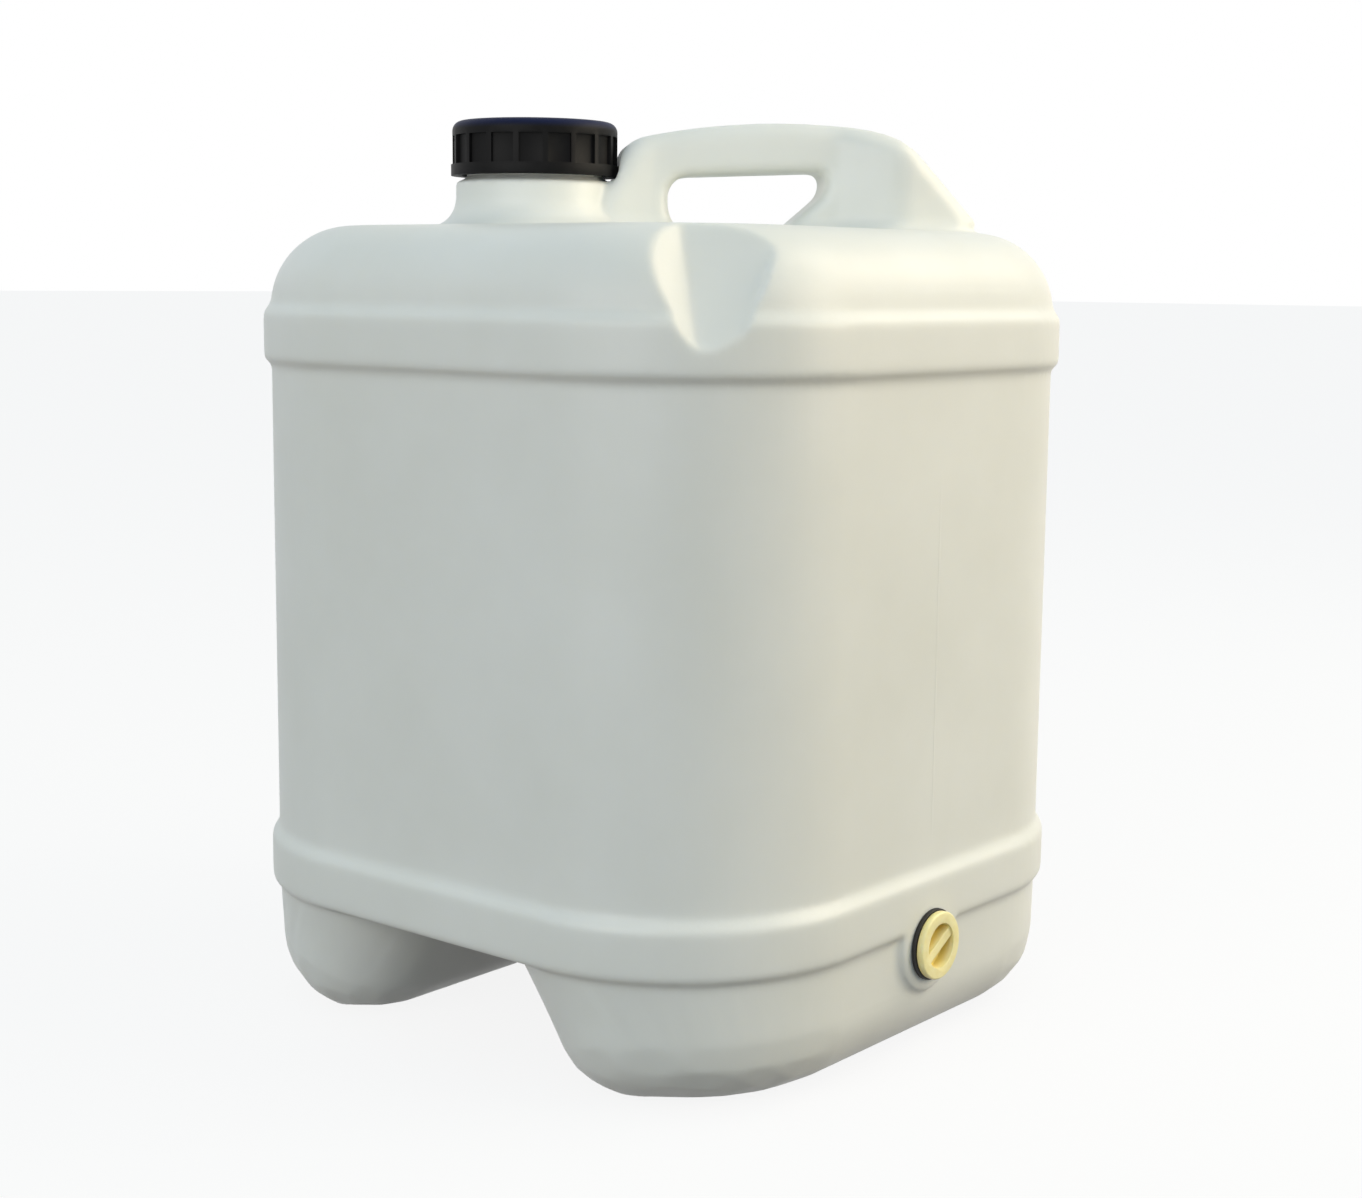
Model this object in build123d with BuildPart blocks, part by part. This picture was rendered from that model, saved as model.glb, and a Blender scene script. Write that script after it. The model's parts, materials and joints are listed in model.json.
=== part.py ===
from build123d import *
from math import atan, cos, degrees, pi, radians, sin, sqrt, tan
import os

# A square 20-litre cube drum with a diagonal handle, a 58 mm screw cap and a drain bung. Millimetres, +Z up.
# The origin is on the floor under the middle of the body. The front, with the bung, faces -Y.
# The cap stands near the rear left corner and the handle runs from it to the front right corner.
# Places along the handle are distances along that diagonal from the middle of the body.

os.makedirs("parts", exist_ok=True)

# ---- the blown body ----
body_width = 280
body_depth = 275
deck_height = 324
corner_radius = 80
shoulder_radius = 33
wall = 2.2

# ---- the two bands ----
band_proud = 3
band_height = 20
band_ledge = 4
band_edge_radius = 2.5
lower_band_z = 52
upper_band_z = 269

# ---- the feet and the arch between them ----
arch_half_width = 54
arch_draft = 32
arch_mouth_radius = 32
arch_roof_mouth_radius = 42
foot_radius = 28

# ---- the corner scoops ----
scoop_offset = 2
scoop_turn = -15
scoop_tip_drop = 44
scoop_tip_width = 14
scoop_spread = 12
scoop_slope = 56
scoop_draft = 42
scoop_corner_radius = 4

# ---- the neck and its collar ----
neck_offset = -55
neck_radius = 28
neck_bore_radius = 24.5
collar_radius = 32.5
collar_rise = 19
collar_root_radius = 12
thread_pitch = 5
thread_turns = 1.75
thread_depth = 1.7
thread_root_width = 2.3
thread_crest_width = 1.2
thread_start = 6.5

# ---- the screw cap and its wad ----
cap_radius = 34.5
cap_height = 22
cap_gap = 2
cap_top = 2.6
cap_skirt_height = 4.5
cap_pocket_height = 11.5
cap_pocket_depth = 1.8
cap_step = 0.6
cap_rib_count = 18
cap_rib_width = 2.6
cap_edge_radius = 4
thread_clearance = 0.5
wad_thickness = 1.6

# ---- the handle: distances along the diagonal, and rises above the deck ----
handle_foot = (-45, -11)
handle_front_top = (-18, 36)
handle_crown = (52, 43.8)
handle_rear_top = (88.5, 41)
handle_rear_slope = 46
handle_front_radius = 20
handle_rear_radius = 42
handle_root_depth = 52
handle_root_radius = 6
pillar_half_width = 25.5
front_half_width = 21
grip_half_width = 15.5
front_crest = -24
grip_start = -6
grip_end = 69
rear_crest = 89
nose_end = 142
nose_half_width = 12
nose_radius = 11
crest_radius = 16
grip_corner_radius = 16
grip_edge_radius = 8
hole_front = -1
hole_front_top = 21.5
hole_rear = 64.5
hole_rear_top = 24.2
hole_sill = 15.5
hole_foot = 42
hole_floor = -4
hole_corner_radius = 9
hole_front_radius = 15
hole_tight_radius = 4
hole_edge_radius = 5

# ---- the drain port, its bung and seal ----
port_x = -3
port_z = 46
boss_radius = 19
port_radius = 10.7
port_length = 14
port_wall = 3.5
bung_clearance = 0.08
bung_flange_radius = 13.5
bung_flange_thickness = 3
bung_edge_radius = 0.8
bung_shank_length = 12
bung_shank_wall = 2
bung_dish_radius = 9
bung_dish_depth = 5
bung_web_width = 4
bung_web_angle = 30
bung_web_drop = 0.8
seal_radius = 14.2
seal_thickness = 1.8

# ---- planes and heights that follow from the sizes above ----
diagonal = Plane((0, 0, 0), x_dir=(1, -1, 0), z_dir=(-1, -1, 0))
plan = Plane((0, 0, 0), x_dir=(1, -1, 0), z_dir=(0, 0, 1))
corner_reach = (body_width + body_depth - 4 * corner_radius) / (2 * sqrt(2)) + corner_radius
collar_height = deck_height + collar_rise
cap_bottom = collar_height + cap_gap
neck_top = cap_bottom + cap_height - cap_top - wad_thickness
neck = plan.from_local_coords(Vector(neck_offset, 0, 0))
port = Plane((port_x, -body_depth / 2 - band_proud, port_z), x_dir=(1, 0, 0), z_dir=(0, -1, 0))


def neck_plane(height):
    """A level plane centred on the neck."""
    return Plane(neck + Vector(0, 0, height))


def body_outline(grow):
    """The body's rounded square, moved outwards by grow."""
    return RectangleRounded(body_width + 2 * grow, body_depth + 2 * grow, corner_radius + grow)


def foot_outline(height, mouth_radius, inset):
    """Plan of the rear foot at a height: the rounded square behind the arch, swept round at both mouths."""
    gap = arch_half_width - height * tan(radians(arch_draft)) + inset / cos(radians(arch_draft))
    body_outline(-inset)
    with Locations((0, gap - body_depth)):
        Rectangle(2 * body_width, 2 * body_depth, mode=Mode.SUBTRACT)
    offset(amount=-(mouth_radius - inset), mode=Mode.REPLACE)
    offset(amount=mouth_radius - inset, mode=Mode.REPLACE)


def foot_form(inset):
    """The rear foot, leaning away from the arch, its sole edge rounded all round."""
    with BuildPart() as foot:
        with BuildSketch(Plane.XY.offset(inset)):
            foot_outline(inset, arch_mouth_radius, inset)
        with BuildSketch(Plane.XY.offset(lower_band_z + inset)):
            foot_outline(lower_band_z + inset, arch_roof_mouth_radius, inset)
        loft(ruled=True)
        fillet(foot.faces().sort_by(Axis.Z)[0].edges(), foot_radius - inset)
    return foot.part


def scoop_form(inset):
    """The notch that narrows down the front left corner, from the deck to the upper band."""
    slope = radians(scoop_slope)
    tip = diagonal.from_local_coords(Vector(scoop_offset, deck_height - scoop_tip_drop, corner_reach + band_proud))
    level = diagonal.z_dir.rotate(Axis.Z, scoop_turn)
    across = diagonal.x_dir.rotate(Axis.Z, scoop_turn)
    outward = level * sin(slope) + Vector(0, 0, cos(slope))
    length = 2 * scoop_tip_drop / sin(slope)
    foot = scoop_tip_width / 2
    top = foot + length * tan(radians(scoop_spread))
    with BuildPart() as scoop:
        with BuildSketch(Plane(tip, x_dir=across, z_dir=outward).offset(-inset)) as face:
            with BuildLine():
                Polyline((-foot, 0), (foot, 0), (top, length), (-top, length), close=True)
            make_face()
            if inset:
                offset(amount=inset, kind=Kind.INTERSECTION, mode=Mode.REPLACE)
            fillet(face.vertices().sort_by(Axis.Y)[:2], scoop_corner_radius)
        extrude(amount=corner_radius, taper=-scoop_draft)
    return scoop.part


def handle_form(inset):
    """The handle: its side view met with its waisted plan, rounded along the top, with the finger hole."""
    root = deck_height - handle_root_depth
    run = (handle_rear_top[1] + handle_root_depth) / tan(radians(handle_rear_slope))
    across = Axis((0, 0, 0), tuple(diagonal.z_dir))
    with BuildPart() as handle:
        with BuildSketch(diagonal.shift_origin(diagonal.from_local_coords(Vector(0, deck_height, 0)))) as side:
            with BuildLine():
                ThreePointArc(handle_front_top, handle_crown, handle_rear_top)
                Polyline(handle_rear_top,
                         (handle_rear_top[0] + run, -handle_root_depth),
                         (handle_foot[0], -handle_root_depth),
                         handle_foot,
                         handle_front_top)
            make_face()
            fillet(side.vertices().sort_by_distance(handle_front_top)[0], handle_front_radius)
            fillet(side.vertices().sort_by_distance(handle_rear_top)[0], handle_rear_radius)
            if inset:
                offset(amount=-inset, kind=Kind.INTERSECTION, mode=Mode.REPLACE)
        extrude(amount=2 * pillar_half_width, both=True)
        with BuildSketch(plan.offset(root)) as outline:
            with BuildLine():
                Polyline((nose_end, nose_half_width),
                         (rear_crest, pillar_half_width),
                         (grip_end, grip_half_width),
                         (grip_start, grip_half_width),
                         (front_crest, front_half_width),
                         (neck_offset, front_half_width),
                         (neck_offset, -front_half_width),
                         (front_crest, -front_half_width),
                         (grip_start, -grip_half_width),
                         (grip_end, -grip_half_width),
                         (rear_crest, -pillar_half_width),
                         (nose_end, -nose_half_width),
                         close=True)
            make_face()
            for x, half_width, radius in ((grip_start, grip_half_width, grip_corner_radius),
                                          (grip_end, grip_half_width, grip_corner_radius),
                                          (front_crest, front_half_width, crest_radius),
                                          (rear_crest, pillar_half_width, crest_radius),
                                          (nose_end, nose_half_width, nose_radius)):
                for y in (-half_width, half_width):
                    fillet(outline.vertices().sort_by_distance((x, y))[0], radius)
            if inset:
                offset(amount=-inset, kind=Kind.INTERSECTION, mode=Mode.REPLACE)
        extrude(amount=deck_height, mode=Mode.INTERSECT)
        rim = handle.edges().filter_by(Axis.Z, reverse=True).filter_by(across, reverse=True)
        rim = rim.filter_by(lambda edge: edge.center().Z > root + pillar_half_width)
        fillet(rim, grip_edge_radius - inset)
        with BuildSketch(diagonal.shift_origin(diagonal.from_local_coords(Vector(0, deck_height, 0)))) as hole:
            with BuildLine():
                Polyline((hole_front, hole_floor),
                         (hole_front, hole_front_top),
                         (hole_rear, hole_rear_top),
                         (hole_rear, hole_sill),
                         (hole_foot, hole_floor),
                         close=True)
            make_face()
            for corner, radius in (((hole_rear, hole_rear_top), hole_tight_radius),
                                   ((hole_front, hole_floor), hole_front_radius),
                                   ((hole_front, hole_front_top), hole_corner_radius),
                                   ((hole_rear, hole_sill), hole_corner_radius),
                                   ((hole_foot, hole_floor), hole_corner_radius)):
                fillet(hole.vertices().sort_by_distance(corner)[0], radius)
            if inset:
                offset(amount=inset, kind=Kind.ARC, mode=Mode.REPLACE)
        extrude(amount=pillar_half_width, both=True, mode=Mode.SUBTRACT)
        lips = handle.edges(Select.LAST).filter_by(across, reverse=True)
        fillet(lips, hole_edge_radius + inset)
    return handle.part


def collar_form(inset):
    """The round collar under the cap, swept out to the deck at its root."""
    deck = deck_height - inset
    radius = collar_radius - inset
    root = collar_root_radius + inset
    with BuildPart() as collar:
        with BuildSketch(Plane(neck, x_dir=(1, 0, 0), z_dir=(0, -1, 0))):
            with BuildLine():
                CenterArc((radius + root, deck + root), root, 180, 90)
                Polyline((radius, deck + root),
                         (radius, collar_height - inset),
                         (0, collar_height - inset),
                         (0, deck - root),
                         (radius + root, deck - root),
                         (radius + root, deck))
            make_face()
        revolve(axis=Axis(neck, (0, 0, 1)))
    return collar.part


def band_form(inset, bottom):
    """A band as a whole slab of the body, proud of the wall, its rims rounded and its top a sloping ledge."""
    with BuildPart() as band:
        with BuildSketch(Plane.XY.offset(bottom + inset)):
            body_outline(band_proud - inset)
        extrude(amount=band_height - inset)
        with BuildSketch(Plane.XY.offset(bottom + band_height)):
            body_outline(band_proud - inset)
        extrude(amount=band_ledge, taper=degrees(atan(band_proud / band_ledge)))
        rims = band.edges().group_by(Axis.Z)
        fillet(rims[0] + rims[2], band_edge_radius - inset)
    return band.part


def drum_form(inset):
    """The drum's closed form, with every face moved inwards by inset."""
    with BuildPart() as body:
        with BuildSketch(Plane.XY.offset(lower_band_z + inset)):
            body_outline(-inset)
        extrude(amount=deck_height - lower_band_z - 2 * inset)
        fillet(body.edges().group_by(Axis.Z)[-1], shoulder_radius - inset)
    handle = handle_form(inset)
    collar = collar_form(inset)
    rear_foot = foot_form(inset)
    front_scoop = scoop_form(inset)
    with BuildPart() as form:
        add(body)
        add(handle)
        fillet(form.edges(Select.NEW), handle_root_radius + inset)
        with BuildSketch(neck_plane(collar_height - inset)):
            Circle(cap_radius + cap_gap + inset)
        extrude(amount=deck_height, mode=Mode.SUBTRACT)
        add(collar)
        add(rear_foot)
        mirror(rear_foot, about=Plane.XZ)
        add(band_form(inset, lower_band_z))
        add(band_form(inset, upper_band_z))
        add(front_scoop, mode=Mode.SUBTRACT)
        mirror(front_scoop, about=diagonal, mode=Mode.SUBTRACT)
    return form.part


def thread_ridge(root_radius, reach, start):
    """One start of right-hand thread round the neck's axis; reach is the crest's height, inwards if negative."""
    axis = neck + Vector(0, 0, start)
    path = Helix(thread_pitch, thread_turns * thread_pitch, root_radius, center=axis)
    foot = thread_root_width / 2
    crest = thread_crest_width / 2
    buried = -0.3 if reach > 0 else 0.3
    with BuildPart() as ridge:
        with BuildSketch(Plane(path @ 0, x_dir=(1, 0, 0), z_dir=path % 0)):
            with BuildLine():
                Polyline((buried, -foot), (0, -foot), (reach, -crest), (reach, crest), (0, foot), (buried, foot), close=True)
            make_face()
        sweep(path=path, is_frenet=True)
    return ridge.part


# ---- container: the blown drum, its threaded neck and its drain port, all one piece ----
outer = drum_form(0)
inner = drum_form(wall)
neck_thread = thread_ridge(neck_radius, thread_depth, collar_height + thread_start)

with BuildPart() as container:
    add(outer)
    with BuildSketch(neck_plane(collar_height)):
        Circle(neck_radius)
    extrude(amount=neck_top - collar_height)
    with BuildSketch(port):
        Circle(boss_radius)
    extrude(amount=-2 * band_proud)
    add(inner, mode=Mode.SUBTRACT)
    with BuildSketch(port):
        Circle(port_radius + port_wall)
    extrude(amount=-port_length)
    with BuildSketch(port):
        Circle(port_radius)
    extrude(amount=-2 * port_length, mode=Mode.SUBTRACT)
    with BuildSketch(neck_plane(neck_top)):
        Circle(neck_bore_radius)
    extrude(amount=-(neck_top - collar_height + 2 * wall), mode=Mode.SUBTRACT)
    add(neck_thread)

container.part.label = "container"
export_step(container.part, "parts/container.step")

# ---- screw_cap: grip pockets between ribs, a plain skirt ring, and the same thread inside ----
cap_bore_radius = neck_radius + thread_depth + thread_clearance
cap_thread = thread_ridge(cap_bore_radius, -thread_depth, collar_height + thread_start - thread_pitch / 2)
pocket_width = 2 * pi * cap_radius / cap_rib_count - cap_rib_width

with BuildPart() as screw_cap:
    with BuildSketch(neck_plane(cap_bottom)):
        Circle(cap_radius - cap_step)
    extrude(amount=cap_height)
    fillet(screw_cap.edges().group_by(Axis.Z)[-1], cap_edge_radius)
    with BuildSketch(neck_plane(cap_bottom)):
        Circle(cap_radius)
    extrude(amount=cap_skirt_height)
    with Locations(neck_plane(cap_bottom + cap_skirt_height)):
        with PolarLocations(cap_radius, cap_rib_count):
            Box(2 * (cap_pocket_depth + cap_step),
                pocket_width,
                cap_pocket_height,
                align=(Align.CENTER, Align.CENTER, Align.MIN),
                mode=Mode.SUBTRACT)
    with BuildSketch(neck_plane(cap_bottom)):
        Circle(cap_bore_radius)
    extrude(amount=cap_height - cap_top, mode=Mode.SUBTRACT)
    add(cap_thread)

screw_cap.part.label = "screw_cap"
export_step(screw_cap.part, "parts/screw_cap.step")

# ---- cap_wad: the foam disc between the cap and the neck's lip ----
with BuildPart() as cap_wad:
    with BuildSketch(neck_plane(neck_top)):
        Circle(cap_bore_radius - thread_clearance)
    extrude(amount=wad_thickness)

cap_wad.part.label = "cap_wad"
export_step(cap_wad.part, "parts/cap_wad.step")

# ---- bung_seal: the flat ring between the boss and the bung's flange ----
shank_radius = port_radius - bung_clearance

with BuildPart() as bung_seal:
    with BuildSketch(port):
        Circle(seal_radius)
        Circle(shank_radius + bung_clearance, mode=Mode.SUBTRACT)
    extrude(amount=seal_thickness)
    fillet(bung_seal.edges().filter_by(GeomType.CIRCLE).sort_by(SortBy.RADIUS)[-2:], seal_thickness / 4)

bung_seal.part.label = "bung_seal"
export_step(bung_seal.part, "parts/bung_seal.step")

# ---- bung: a flanged plug, dished outside with a web to turn it by, hollow inside ----
flange = port.offset(seal_thickness)

with BuildPart() as bung:
    with BuildSketch(flange):
        Circle(bung_flange_radius)
    extrude(amount=bung_flange_thickness)
    fillet(bung.edges(), bung_edge_radius)
    with BuildSketch(flange):
        Circle(shank_radius)
    extrude(amount=-(bung_shank_length + seal_thickness))
    with BuildSketch(port.offset(-bung_shank_length)):
        Circle(shank_radius - bung_shank_wall)
    extrude(amount=bung_shank_length - bung_dish_depth + bung_shank_wall, mode=Mode.SUBTRACT)
    with BuildSketch(flange.offset(bung_flange_thickness)):
        Circle(bung_dish_radius)
    extrude(amount=-bung_dish_depth, mode=Mode.SUBTRACT)
    with BuildSketch(flange.offset(bung_flange_thickness - bung_dish_depth)):
        Rectangle(2 * bung_dish_radius, bung_web_width, rotation=bung_web_angle)
    extrude(amount=bung_dish_depth - bung_web_drop)

bung.part.label = "bung"
export_step(bung.part, "parts/bung.step")
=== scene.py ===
# %% [markdown]
# # A 20-litre cube drum
# A square, blown drum of natural polyethylene with a black screw cap, a diagonal handle
# and a pale drain bung.
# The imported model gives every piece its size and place. This lesson dresses it: soft blown corners,
# moulded edges that catch the light, and plastics that look like themselves.

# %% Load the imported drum
import json
import math

import bmesh
import bpy
from mathutils import Matrix, Vector

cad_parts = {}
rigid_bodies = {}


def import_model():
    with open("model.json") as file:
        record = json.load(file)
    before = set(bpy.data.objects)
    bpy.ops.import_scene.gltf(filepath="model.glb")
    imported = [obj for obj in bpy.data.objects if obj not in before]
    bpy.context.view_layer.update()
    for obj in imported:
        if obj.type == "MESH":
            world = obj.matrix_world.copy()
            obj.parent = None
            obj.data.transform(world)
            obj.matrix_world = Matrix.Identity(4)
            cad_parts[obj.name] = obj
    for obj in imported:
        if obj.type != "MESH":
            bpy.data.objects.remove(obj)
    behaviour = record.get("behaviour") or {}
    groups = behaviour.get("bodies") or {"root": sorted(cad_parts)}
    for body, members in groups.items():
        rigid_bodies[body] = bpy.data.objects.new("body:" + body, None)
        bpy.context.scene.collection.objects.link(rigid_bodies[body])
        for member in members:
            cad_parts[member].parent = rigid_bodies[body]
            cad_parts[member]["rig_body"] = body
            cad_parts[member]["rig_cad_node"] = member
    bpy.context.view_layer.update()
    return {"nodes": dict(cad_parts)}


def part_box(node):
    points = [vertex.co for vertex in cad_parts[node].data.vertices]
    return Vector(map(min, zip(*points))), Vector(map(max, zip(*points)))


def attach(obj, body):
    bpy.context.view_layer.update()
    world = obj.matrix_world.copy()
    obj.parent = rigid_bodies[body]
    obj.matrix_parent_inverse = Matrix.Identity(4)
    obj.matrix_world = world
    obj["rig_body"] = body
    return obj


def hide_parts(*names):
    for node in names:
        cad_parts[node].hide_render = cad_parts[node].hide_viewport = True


# Blender's own starting cube, lamp and camera are cleared away.
for leftover in list(bpy.data.objects):
    bpy.data.objects.remove(leftover)

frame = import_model()
nodes = frame["nodes"]
MM = 0.001
print("pieces in the model:", sorted(nodes))

# %% [markdown]
# ## Places on the drum
# The neck stands over one corner of the deck and the handle runs from it along the diagonal.
# The middle and the lip of the neck, and the middle of the port, are read from the boxes of the model's
# smaller pieces, so each later step can find its faces by place.

# %% Read the main places
cap_low, cap_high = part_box("screw_cap")
seal_low, seal_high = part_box("bung_seal")
bung_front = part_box("bung")[0].y
neck_x = (cap_low.x + cap_high.x) / 2
neck_y = (cap_low.y + cap_high.y) / 2
neck_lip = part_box("cap_wad")[0].z
port_x = (seal_low.x + seal_high.x) / 2
port_z = (seal_low.z + seal_high.z) / 2
print("neck at", round(neck_x, 4), round(neck_y, 4), "lip at", round(neck_lip, 4))
print("port at", round(port_x, 4), round(port_z, 4))

# %% [markdown]
# ## Helpers for shapes
# An operator works on everything that is selected, so each helper first deselects all, then picks
# its own piece. Faces are chosen by where they are, which still holds if the mesh is rebuilt finer.


# %% Selection and modifier helpers
same_point = 0.002 * MM


def pick(*objects):
    """Only these objects are selected, and the first is active."""
    bpy.ops.object.select_all(action="DESELECT")
    for each in objects:
        each.select_set(True)
    bpy.context.view_layer.objects.active = objects[0]


def finish_modifiers(piece):
    """Every modifier becomes part of the mesh, in order."""
    pick(piece)
    for name in [modifier.name for modifier in piece.modifiers]:
        bpy.ops.object.modifier_apply(modifier=name)


def copy_of(node, name):
    """The node's mesh as a new piece, with the points that its triangles share merged."""
    piece = nodes[node].copy()
    piece.data = nodes[node].data.copy()
    piece.name = name
    piece.parent = None
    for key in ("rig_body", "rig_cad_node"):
        if key in piece:
            del piece[key]
    bpy.context.scene.collection.objects.link(piece)
    piece.matrix_world = Matrix.Identity(4)
    piece.data.materials.clear()
    pick(piece)
    bpy.ops.object.mode_set(mode="EDIT")
    bpy.ops.mesh.select_all(action="SELECT")
    bpy.ops.mesh.remove_doubles(threshold=same_point)
    bpy.ops.object.mode_set(mode="OBJECT")
    return piece


print("helpers ready")

# %% [markdown]
# ## The blown shell
# A blown drum has no sharp corner: the hot tube of plastic is blown out against a cold mould, and it
# bridges every crease with a small radius. A voxel remesh rebuilds the outside as even little squares,
# and a light smoothing then rounds each crease by a millimetre or two, which a bevel could not do where
# so many curved faces meet. A remesh needs a closed body, so the neck's bore and the drain port are
# plugged first, and opened again afterwards.

# %% Plug the neck and the port
shell = copy_of("container", "blown_shell")
cylinder_sides = 96
neck_plug_radius = 26.5 * MM
neck_plug_length = 60 * MM
port_plug_radius = 12.5 * MM
port_plug_length = 13 * MM

pick(shell)
bpy.ops.mesh.primitive_cylinder_add(vertices=cylinder_sides, radius=neck_plug_radius, depth=neck_plug_length,
                                    location=(neck_x, neck_y, neck_lip - neck_plug_length / 2))
neck_plug = bpy.context.object
bpy.ops.mesh.primitive_cylinder_add(vertices=cylinder_sides, radius=port_plug_radius, depth=port_plug_length,
                                    rotation=(math.pi / 2, 0, 0),
                                    location=(port_x, seal_high.y + port_plug_length / 2, port_z))
port_plug = bpy.context.object

pick(shell, neck_plug, port_plug)
bpy.ops.object.join()
print("plugged shell:", len(shell.data.vertices), "points")

# %% Rebuild the shell as one even skin
voxel = 1.25 * MM
remesh = shell.modifiers.new("even skin", "REMESH")
remesh.mode = "VOXEL"
remesh.voxel_size = voxel
finish_modifiers(shell)
print("even skin:", len(shell.data.polygons), "faces")

# %% [markdown]
# ## Carry the handle's rear slope over the shoulder
# On the real drum the handle's rear slope runs out over the edge of the deck and melts into the
# shoulder. Its points are drawn outwards along the handle's own diagonal. The shift eases in behind the
# finger gap and just above the deck, so the gap and the deck stay where they are.

# %% Draw the rear slope outwards
diagonal = Vector((1, -1, 0)).normalized()
deck_height = 324 * MM
slope_start = 72 * MM
slope_run = 18 * MM
slope_rise = 5 * MM
slope_reach = 4.5 * MM


def eased(value):
    """A smooth step from 0 to 1."""
    held = min(max(value, 0), 1)
    return held * held * (3 - 2 * held)


moved = 0
for point in shell.data.vertices:
    length = eased((point.co.dot(diagonal) - slope_start) / slope_run)
    height = eased((point.co.z - deck_height) / slope_rise)
    if length * height > 0:
        point.co += slope_reach * length * height * diagonal
        moved += 1
print("points drawn outwards:", moved)

# %% Round the blown corners
soften = shell.modifiers.new("blown corners", "SMOOTH")
soften.factor = 0.5
soften.iterations = 9
finish_modifiers(shell)
print("soft skin:", len(shell.data.polygons), "faces")

# %% [markdown]
# ## Thin the mesh
# Flat walls need few faces and round corners need many. Decimate takes away the faces that change the
# shape least, so the skin stays smooth where it curves.

# %% Thin the skin
kept_triangles = 95000
thin = shell.modifiers.new("thin flats", "DECIMATE")
thin.ratio = kept_triangles / (2 * len(shell.data.polygons))
finish_modifiers(shell)
print("thinned skin:", len(shell.data.polygons), "faces")

# %% [markdown]
# ## Give the skin its wall
# The real wall is a couple of millimetres thick, and it shows when the cap is off. The stub of the neck
# is cut away just above the collar, which leaves an opening, and Solidify then gives the skin its
# thickness, inwards, so that the outside keeps its size.

# %% Open the neck and add the wall
cap_gap = 2 * MM
neck_stub = 1.6 * MM
neck_reach = 31 * MM
wall_thickness = 2.2 * MM
collar_top = cap_low.z - cap_gap
neck_cut = collar_top + neck_stub


def from_neck(point):
    """How far a point lies from the neck's upright axis."""
    return math.hypot(point.x - neck_x, point.y - neck_y)


def cut_level(piece, height):
    """A level cut through the whole piece, which takes nothing away."""
    pick(piece)
    bpy.ops.object.mode_set(mode="EDIT")
    bpy.ops.mesh.select_all(action="SELECT")
    bpy.ops.mesh.bisect(plane_co=(0, 0, height), plane_no=(0, 0, 1))
    bpy.ops.mesh.select_all(action="DESELECT")
    bpy.ops.object.mode_set(mode="OBJECT")


def delete_faces(piece, unwanted):
    """The faces for which unwanted(face) is true are deleted."""
    pick(piece)
    bpy.ops.object.mode_set(mode="EDIT")
    bpy.ops.mesh.select_mode(type="FACE")
    mesh = bmesh.from_edit_mesh(piece.data)
    for face in mesh.faces:
        face.select_set(unwanted(face))
    bmesh.update_edit_mesh(piece.data)
    bpy.ops.mesh.delete(type="FACE")
    bpy.ops.object.mode_set(mode="OBJECT")


cut_level(shell, neck_cut)
delete_faces(shell, lambda face: face.calc_center_median().z > neck_cut
             and from_neck(face.calc_center_median()) < neck_reach)
wall = shell.modifiers.new("blown wall", "SOLIDIFY")
wall.thickness = wall_thickness
wall.offset = -1
finish_modifiers(shell)
print("walled shell:", len(shell.data.polygons), "faces")

# %% [markdown]
# ## Bore the drain port
# The bung sits in a round port low on the front. A plain cylinder cuts it out of the wall, and
# the model's own bore wall lines the hole, so the port looks whole when the bung is drawn out.

# %% Cut the port through the wall
port_radius = 10.7 * MM
cutter_length = 20 * MM
skin_crease = math.radians(50)
bpy.ops.object.select_all(action="DESELECT")
bpy.ops.mesh.primitive_cylinder_add(vertices=cylinder_sides, radius=port_radius, depth=cutter_length,
                                    rotation=(math.pi / 2, 0, 0),
                                    location=(port_x, seal_high.y, port_z))
cutter = bpy.context.object
bore = shell.modifiers.new("drain port", "BOOLEAN")
bore.operation = "DIFFERENCE"
bore.solver = "EXACT"
bore.object = cutter
finish_modifiers(shell)
bpy.data.objects.remove(cutter)
pick(shell)
bpy.ops.object.shade_smooth_by_angle(angle=skin_crease)
print("shell with port:", len(shell.data.polygons), "faces")

# %% [markdown]
# ## The threaded neck
# The neck's thread is less than two millimetres high, and the even skin is too coarse for it, so the
# model's own neck is used. A copy of the drum is cut level at the collar and a little below it, and
# all but the neck and the port's bore is taken away.

# %% Keep the neck and the port's bore
neck = copy_of("container", "threaded_neck")
bore_reach = 25 * MM
port_slack = 0.1 * MM
port_depth = 15 * MM
thread_crease = math.radians(12)
thread_floor = collar_top + 0.05 * MM
neck_floor = collar_top - 3 * MM
cut_level(neck, thread_floor)
cut_level(neck, neck_floor)


def not_neck(face):
    """True for a face that is in neither the neck's bore, its threaded outside nor the port's bore."""
    centre = face.calc_center_median()
    in_bore = from_neck(centre) < bore_reach and centre.z > neck_floor
    in_thread = from_neck(centre) < neck_reach and centre.z > thread_floor
    off_port = math.hypot(centre.x - port_x, centre.z - port_z)
    in_port = off_port < port_radius + port_slack and centre.y < seal_high.y + port_depth
    return not (in_bore or in_thread or in_port)


delete_faces(neck, not_neck)
pick(neck)
bpy.ops.object.shade_smooth_by_angle(angle=thread_crease)
print("neck and bore:", len(neck.data.polygons), "faces")

# %% Join them as one drum
pick(shell, neck)
bpy.ops.object.join()
drum = shell
drum.name = "natural_drum"
drum.data.name = "natural_drum"
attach(drum, "drum")
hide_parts("container")
print("natural_drum:", len(drum.data.polygons), "faces")

# %% [markdown]
# ## The screw cap
# The cap is a stiff injection moulding. Its ribs and pockets come from the model, and what it still
# lacks is the tiny radius that every moulded edge has, which draws a thin line of light along each rib.
# Triangles that lie flat together are made one face first. A Bevel that only takes edges sharper than
# thirty degrees then adds the radius, and leaves the round skirt alone.

# %% Soften the cap's edges
flat_within = math.radians(0.5)
sharp_beyond = math.radians(30)


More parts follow.
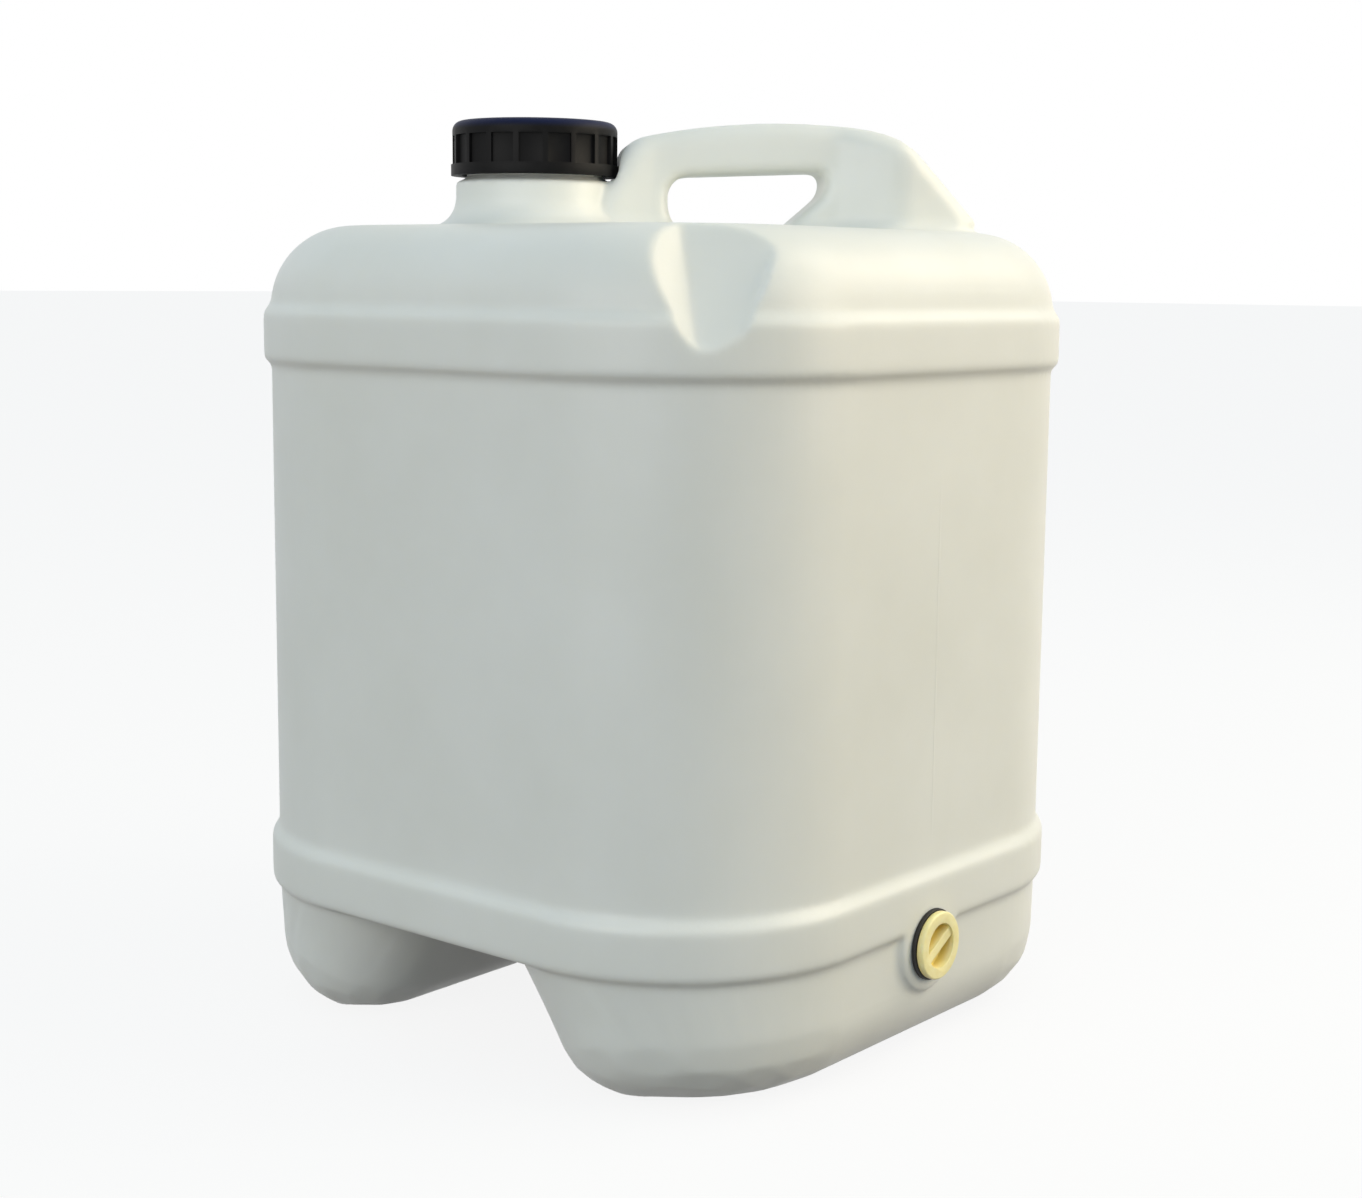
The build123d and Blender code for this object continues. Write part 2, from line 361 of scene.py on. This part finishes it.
def moulded(node, name, body, edge):
    """A crisp copy of a node with a small radius on its sharp edges, riding on the node's body."""
    piece = copy_of(node, name)
    pick(piece)
    bpy.ops.object.mode_set(mode="EDIT")
    bpy.ops.mesh.select_all(action="SELECT")
    bpy.ops.mesh.dissolve_limited(angle_limit=flat_within)
    bpy.ops.object.mode_set(mode="OBJECT")
    radius = piece.modifiers.new("moulded edges", "BEVEL")
    radius.width = edge
    radius.segments = 2
    radius.limit_method = "ANGLE"
    radius.angle_limit = sharp_beyond
    radius.use_clamp_overlap = True
    finish_modifiers(piece)
    pick(piece)
    bpy.ops.object.shade_smooth_by_angle(angle=sharp_beyond)
    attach(piece, body)
    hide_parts(node)
    print(name, len(piece.data.polygons), "faces")
    return piece


cap = moulded("screw_cap", "ribbed_cap", "cap", 0.3 * MM)

# %% [markdown]
# ## The wad, the bung and its seal
# The wad is a foam disc that the cap squeezes onto the neck's lip. The bung is a pale moulded plug with
# a dished face and a web to turn it by, and its flat rubber ring seals against the port's boss.

# %% Soften the small pieces
wad = moulded("cap_wad", "foam_wad", "wad", 0.2 * MM)
bung = moulded("bung", "dished_bung", "plug", 0.35 * MM)
seal = moulded("bung_seal", "rubber_ring", "seal", 0.15 * MM)

# %% [markdown]
# # Materials
# Each finish starts from its real plastic. Colours are written as hex values and turned to linear light
# by one function, and one small helper adds a node with its settings and links, so that each material
# reads as a short recipe.


# %% Material helpers
def linear(hex_colour):
    """An sRGB hex colour as linear red, green, blue and alpha."""
    parts = [int(hex_colour[place:place + 2], 16) / 255 for place in (1, 3, 5)]
    return [part / 12.92 if part <= 0.04045 else ((part + 0.055) / 1.055) ** 2.4 for part in parts] + [1.0]


def node(tree, kind, settings=None, **sockets):
    """A new node with its options set. A socket, by name or as i2 by place, gets a value or an output."""
    made = tree.nodes.new(kind)
    for option, value in (settings or {}).items():
        setattr(made, option, value)
    for socket, value in sockets.items():
        by_place = socket[0] == "i" and socket[1:].isdigit()
        target = made.inputs[int(socket[1:]) if by_place else socket.replace("_", " ")]
        if isinstance(value, bpy.types.NodeSocket):
            tree.links.new(value, target)
        else:
            target.default_value = value
    return made


def start_material(name):
    """An empty material with a Principled shader and Object coordinates in metres."""
    made = bpy.data.materials.new(name)
    made.use_nodes = True
    tree = made.node_tree
    tree.nodes.clear()
    shader = tree.nodes.new("ShaderNodeBsdfPrincipled")
    output = tree.nodes.new("ShaderNodeOutputMaterial")
    tree.links.new(shader.outputs["BSDF"], output.inputs["Surface"])
    place = tree.nodes.new("ShaderNodeTexCoord").outputs["Object"]
    return made, tree, shader, place


def dress(piece, material):
    """The piece gets this one material."""
    piece.data.materials.clear()
    piece.data.materials.append(material)


print("white is", [round(part, 3) for part in linear("#FFFFFF")])

# %% [markdown]
# ## Natural polyethylene, blow-moulded
# Unpigmented high-density polyethylene is milky: light goes a few millimetres in and comes out again,
# so shadows in it stay soft and thin edges glow. Blowing leaves a faint waviness in the walls and a very
# fine grain from the mould, which keep its highlights broad. A slight cloudiness of the colour stands
# for the uneven thickness of the wall.

# %% Make the milky polyethylene
milky, tree, shader, place = start_material("blown natural polyethylene")
cloud = node(tree, "ShaderNodeTexNoise", None, Vector=place, Scale=1 / (70 * MM), Detail=3.0, Roughness=0.55)
tint = node(tree, "ShaderNodeValToRGB", None, Fac=cloud.outputs["Fac"])
tint.color_ramp.elements[0].position = 0.3
tint.color_ramp.elements[0].color = linear("#E0E0D8")
tint.color_ramp.elements[1].position = 0.7
tint.color_ramp.elements[1].color = linear("#E6E6DF")
tree.links.new(tint.outputs["Color"], shader.inputs["Base Color"])

sheen = node(tree, "ShaderNodeTexNoise", None, Vector=place, Scale=1 / (25 * MM), Detail=2.0)
rough = node(tree, "ShaderNodeMapRange", None, Value=sheen.outputs["Fac"], To_Min=0.36, To_Max=0.48)
tree.links.new(rough.outputs["Result"], shader.inputs["Roughness"])

waviness = node(tree, "ShaderNodeTexNoise", None, Vector=place, Scale=1 / (55 * MM), Detail=1.0)
wavy = node(tree, "ShaderNodeBump", None, Strength=0.35, Distance=1.0 * MM, Height=waviness.outputs["Fac"])
grain = node(tree, "ShaderNodeTexNoise", None, Vector=place, Scale=1 / (1.4 * MM), Detail=2.0)
grainy = node(tree, "ShaderNodeBump", None, Strength=0.25, Distance=0.05 * MM, Height=grain.outputs["Fac"],
              Normal=wavy.outputs["Normal"])

# %% [markdown]
# A blown wall often keeps a faint upright line where two inserts of the mould met. It is a narrow ridge
# in the bump, down the middle of the front and back walls only.

# %% Add the mould's faint line
apart = node(tree, "ShaderNodeSeparateXYZ", None, Vector=place)
off_line = node(tree, "ShaderNodeMath", {"operation": "ABSOLUTE"}, i0=apart.outputs["X"])
ridge = node(tree, "ShaderNodeMapRange", {"interpolation_type": "SMOOTHSTEP"},
             Value=off_line.outputs["Value"], From_Min=0.0, From_Max=0.9 * MM, To_Min=1.0, To_Max=0.0)
above = node(tree, "ShaderNodeMapRange", {"interpolation_type": "SMOOTHSTEP"}, Value=apart.outputs["Z"],
             From_Min=80 * MM, From_Max=110 * MM)
below = node(tree, "ShaderNodeMapRange", {"interpolation_type": "SMOOTHSTEP"}, Value=apart.outputs["Z"],
             From_Min=200 * MM, From_Max=240 * MM, To_Min=1.0, To_Max=0.0)
span = node(tree, "ShaderNodeMath", {"operation": "MULTIPLY"},
            i0=above.outputs["Result"], i1=below.outputs["Result"])
line = node(tree, "ShaderNodeMath", {"operation": "MULTIPLY"},
            i0=ridge.outputs["Result"], i1=span.outputs["Value"])
lined = node(tree, "ShaderNodeBump", None, Strength=0.5, Distance=0.4 * MM, Height=line.outputs["Value"],
             Normal=grainy.outputs["Normal"])
tree.links.new(lined.outputs["Normal"], shader.inputs["Normal"])
shader.inputs["IOR"].default_value = 1.54
shader.inputs["Subsurface Weight"].default_value = 0.3
shader.inputs["Subsurface Radius"].default_value = (1.0, 0.92, 0.75)
shader.inputs["Subsurface Scale"].default_value = 6 * MM
dress(drum, milky)
print("drum dressed in", milky.name)

# %% [markdown]
# ## Black polypropylene, injection-moulded
# The cap is pigmented black all through and has a fine matt texture from its mould, so it shows soft
# lights along its ribs and no mirror image. Its crown carries a painted reflection: a dark navy tint along
# the top rim stands for the blue sky reflected there.

# %% Make the cap's black
black, tree, shader, place = start_material("moulded black polypropylene")
apart = node(tree, "ShaderNodeSeparateXYZ", None, Vector=place)
# Painted reflection: the top few millimetres of the cap are tinted navy for the blue sky on its rim.
sky_reflection_mask = node(tree, "ShaderNodeMapRange", {"interpolation_type": "SMOOTHSTEP"}, Value=apart.outputs["Z"],
             From_Min=cap_high.z - 4 * MM, From_Max=cap_high.z - 1 * MM)
mottle = node(tree, "ShaderNodeTexNoise", None, Vector=place, Scale=1 / (6 * MM), Detail=3.0)
shade = node(tree, "ShaderNodeValToRGB", None, Fac=mottle.outputs["Fac"])
shade.color_ramp.elements[0].position = 0.35
shade.color_ramp.elements[0].color = linear("#080809")
shade.color_ramp.elements[1].position = 0.65
shade.color_ramp.elements[1].color = linear("#0E0E0F")
black_with_painted_reflection = node(tree, "ShaderNodeMix", {"data_type": "RGBA"}, i0=sky_reflection_mask.outputs["Result"],
             i6=shade.outputs["Color"], i7=linear("#0D1738"))
tree.links.new(black_with_painted_reflection.outputs[2], shader.inputs["Base Color"])
texture = node(tree, "ShaderNodeTexNoise", None, Vector=place, Scale=1 / (0.5 * MM), Detail=2.0)
textured = node(tree, "ShaderNodeBump", None, Strength=0.3, Distance=0.04 * MM, Height=texture.outputs["Fac"])
tree.links.new(textured.outputs["Normal"], shader.inputs["Normal"])
worn = node(tree, "ShaderNodeMapRange", None, Value=mottle.outputs["Fac"], To_Min=0.42, To_Max=0.56)
tree.links.new(worn.outputs["Result"], shader.inputs["Roughness"])
shader.inputs["IOR"].default_value = 1.49
shader.inputs["Specular IOR Level"].default_value = 0.12
dress(cap, black)
print("cap dressed in", black.name)

# %% [markdown]
# ## Foam, cream polypropylene and rubber
# The wad is white closed-cell foam with tiny pits. The bung is a cream plug with painted shade: its colour
# deepens to ochre inwards from its front face, down into its dish. The seal is plain black rubber, duller
# than the cap.

# %% Make the foam
foam, tree, shader, place = start_material("closed-cell foam")
cells = node(tree, "ShaderNodeTexVoronoi", None, Vector=place, Scale=1 / (0.6 * MM))
fill = node(tree, "ShaderNodeValToRGB", None, Fac=cells.outputs["Distance"])
fill.color_ramp.elements[0].color = linear("#E9E9E6")
fill.color_ramp.elements[1].color = linear("#D2D2CE")
tree.links.new(fill.outputs["Color"], shader.inputs["Base Color"])
pits = node(tree, "ShaderNodeBump", None, Strength=0.4, Distance=0.1 * MM, Height=cells.outputs["Distance"])
tree.links.new(pits.outputs["Normal"], shader.inputs["Normal"])
shader.inputs["Roughness"].default_value = 0.8
dress(wad, foam)
print("wad dressed in", foam.name)

# %% Make the bung's cream
cream, tree, shader, place = start_material("moulded cream polypropylene")
apart = node(tree, "ShaderNodeSeparateXYZ", None, Vector=place)
# Painted shade: the cream deepens to ochre inwards from the front face, down into the dish.
dish_shade_mask = node(tree, "ShaderNodeMapRange", {"interpolation_type": "SMOOTHSTEP"}, Value=apart.outputs["Y"],
              From_Min=bung_front + 0.5 * MM, From_Max=bung_front + 4.5 * MM)
speckle = node(tree, "ShaderNodeTexNoise", None, Vector=place, Scale=1 / (3 * MM), Detail=4.0)
pale = node(tree, "ShaderNodeValToRGB", None, Fac=speckle.outputs["Fac"])
pale.color_ramp.elements[0].position = 0.3
pale.color_ramp.elements[0].color = linear("#F6E8A4")
pale.color_ramp.elements[1].position = 0.7
pale.color_ramp.elements[1].color = linear("#FBF0B9")
cream_with_painted_shade = node(tree, "ShaderNodeMix", {"data_type": "RGBA"}, i0=dish_shade_mask.outputs["Result"],
            i6=pale.outputs["Color"], i7=linear("#EDD67C"))
tree.links.new(cream_with_painted_shade.outputs[2], shader.inputs["Base Color"])
skin = node(tree, "ShaderNodeBump", None, Strength=0.3, Distance=0.05 * MM, Height=speckle.outputs["Fac"])
tree.links.new(skin.outputs["Normal"], shader.inputs["Normal"])
gloss = node(tree, "ShaderNodeMapRange", None, Value=speckle.outputs["Fac"], To_Min=0.34, To_Max=0.46)
tree.links.new(gloss.outputs["Result"], shader.inputs["Roughness"])
shader.inputs["IOR"].default_value = 1.49
shader.inputs["Subsurface Weight"].default_value = 0.15
shader.inputs["Subsurface Radius"].default_value = (1.0, 0.8, 0.4)
shader.inputs["Subsurface Scale"].default_value = 2 * MM
dress(bung, cream)
print("bung dressed in", cream.name)

# %% Make the rubber
rubber, tree, shader, place = start_material("moulded black rubber")
dust = node(tree, "ShaderNodeTexNoise", None, Vector=place, Scale=1 / (2 * MM), Detail=3.0)
dull = node(tree, "ShaderNodeValToRGB", None, Fac=dust.outputs["Fac"])
dull.color_ramp.elements[0].color = linear("#0E0E0E")
dull.color_ramp.elements[1].color = linear("#1F1E1D")
tree.links.new(dull.outputs["Color"], shader.inputs["Base Color"])
shader.inputs["Roughness"].default_value = 0.7
dress(seal, rubber)
print("seal dressed in", rubber.name)

# %% [markdown]
# # The studio
# The drum stands on a plain floor that is pale to the camera and in reflections, and dark to the light
# that bounces, so the walls stay shaded towards their feet. Seen from the camera, two warm lamps stand
# to the right and one nearly white to the left, and a pale blue sky fills the rest, so the front wall
# is lit warmer than the left one. The camera sees white behind, and so do reflections.

# %% Lay the floor
floor_width = 60
glow = 0.88
bpy.ops.object.select_all(action="DESELECT")
bpy.ops.mesh.primitive_plane_add(size=floor_width, location=(0, 0, 0))
floor = bpy.context.object
floor.name = "pale_floor"
paper = bpy.data.materials.new("pale paper")
paper.use_nodes = True
tree = paper.node_tree
tree.nodes.clear()
rays = node(tree, "ShaderNodeLightPath")
mirrored = node(tree, "ShaderNodeMath", {"operation": "MAXIMUM"}, i0=rays.outputs["Is Glossy Ray"],
                i1=rays.outputs["Is Transmission Ray"])
seen = node(tree, "ShaderNodeMath", {"operation": "MAXIMUM"}, i0=rays.outputs["Is Camera Ray"],
            i1=mirrored.outputs["Value"])
tone = node(tree, "ShaderNodeMix", {"data_type": "RGBA"}, i0=seen.outputs["Value"],
            i6=linear("#403A33"), i7=linear("#E4E4E2"))
matt = node(tree, "ShaderNodeBsdfDiffuse", None, Color=tone.outputs[2])
bright = node(tree, "ShaderNodeEmission", None, Color=(1, 1, 1, 1), Strength=1.0)
share = node(tree, "ShaderNodeMath", {"operation": "MULTIPLY"}, i0=seen.outputs["Value"], i1=glow)
mixed = node(tree, "ShaderNodeMixShader", None, i0=share.outputs["Value"], i1=matt.outputs["BSDF"],
             i2=bright.outputs["Emission"])
node(tree, "ShaderNodeOutputMaterial", None, Surface=mixed.outputs["Shader"])
dress(floor, paper)
print("floor laid")

# %% Hang the lamps
world = bpy.data.worlds.new("soft sky")
bpy.context.scene.world = world
world.use_nodes = True
tree = world.node_tree
tree.nodes.clear()
sky = node(tree, "ShaderNodeBackground", None, Color=linear("#D6F1FF"), Strength=0.55)
white = node(tree, "ShaderNodeBackground", None, Color=(1, 1, 1, 1), Strength=1.0)
rays = node(tree, "ShaderNodeLightPath")
straight = node(tree, "ShaderNodeMath", {"operation": "MAXIMUM"}, i0=rays.outputs["Is Camera Ray"],
                i1=rays.outputs["Is Transmission Ray"])
seen = node(tree, "ShaderNodeMath", {"operation": "MAXIMUM"}, i0=straight.outputs["Value"],
            i1=rays.outputs["Is Glossy Ray"])
mixed = node(tree, "ShaderNodeMixShader", None, i0=seen.outputs["Value"], i1=sky.outputs["Background"],
             i2=white.outputs["Background"])
node(tree, "ShaderNodeOutputWorld", None, Surface=mixed.outputs["Shader"])
drum_middle = Vector((0, 0, 0.17))


def lamp(name, azimuth, elevation, distance, size, power, colour):
    """A square lamp that looks at the drum's middle. Azimuth 0 is the +X side and 90 the +Y side."""
    turn, lift = math.radians(azimuth), math.radians(elevation)
    level = math.cos(lift)
    spot = drum_middle + distance * Vector((math.cos(turn) * level, math.sin(turn) * level, math.sin(lift)))
    facing = (drum_middle - spot).to_track_quat("-Z", "Y").to_euler()
    bpy.ops.object.light_add(type="AREA", location=spot, rotation=facing)
    made = bpy.context.object
    made.name = name
    made.data.size = size
    made.data.energy = power
    made.data.color = linear(colour)[:3]
    return made


lamp("warm_key", -35, 42, 1.6, 0.8, 8.5, "#FFF1D8")
lamp("warm_front", -62, 18, 1.8, 1.0, 18.5, "#FFF0D4")
lamp("plain_left", 188, 16, 1.8, 1.4, 14.5, "#FFFCF8")
print("lamps hung")

# %% [markdown]
# ## The camera
# The camera stands before the near left corner, a little lower than the deck, and looks slightly down.

# %% Stand the camera
camera_place = (-0.70516, -0.58239, 0.30419)
camera_heading = math.radians(39.098 - 90)
camera_lift = math.radians(90 - 8.429)
camera_roll = math.radians(0.579)
camera_data = bpy.data.cameras.new("camera")
camera = bpy.data.objects.new("camera", camera_data)
bpy.context.scene.collection.objects.link(camera)
camera.matrix_world = (Matrix.Translation(camera_place)
                       @ Matrix.Rotation(camera_heading, 4, "Z")
                       @ Matrix.Rotation(camera_lift, 4, "X")
                       @ Matrix.Rotation(camera_roll, 4, "Z"))
camera_data.sensor_width = 36
camera_data.lens = 57.195
camera_data.clip_start = 0.05
camera_data.clip_end = 50
bpy.context.scene.camera = camera
bpy.context.scene.view_settings.view_transform = "Standard"
print("camera at", [round(value, 3) for value in camera.matrix_world.translation])
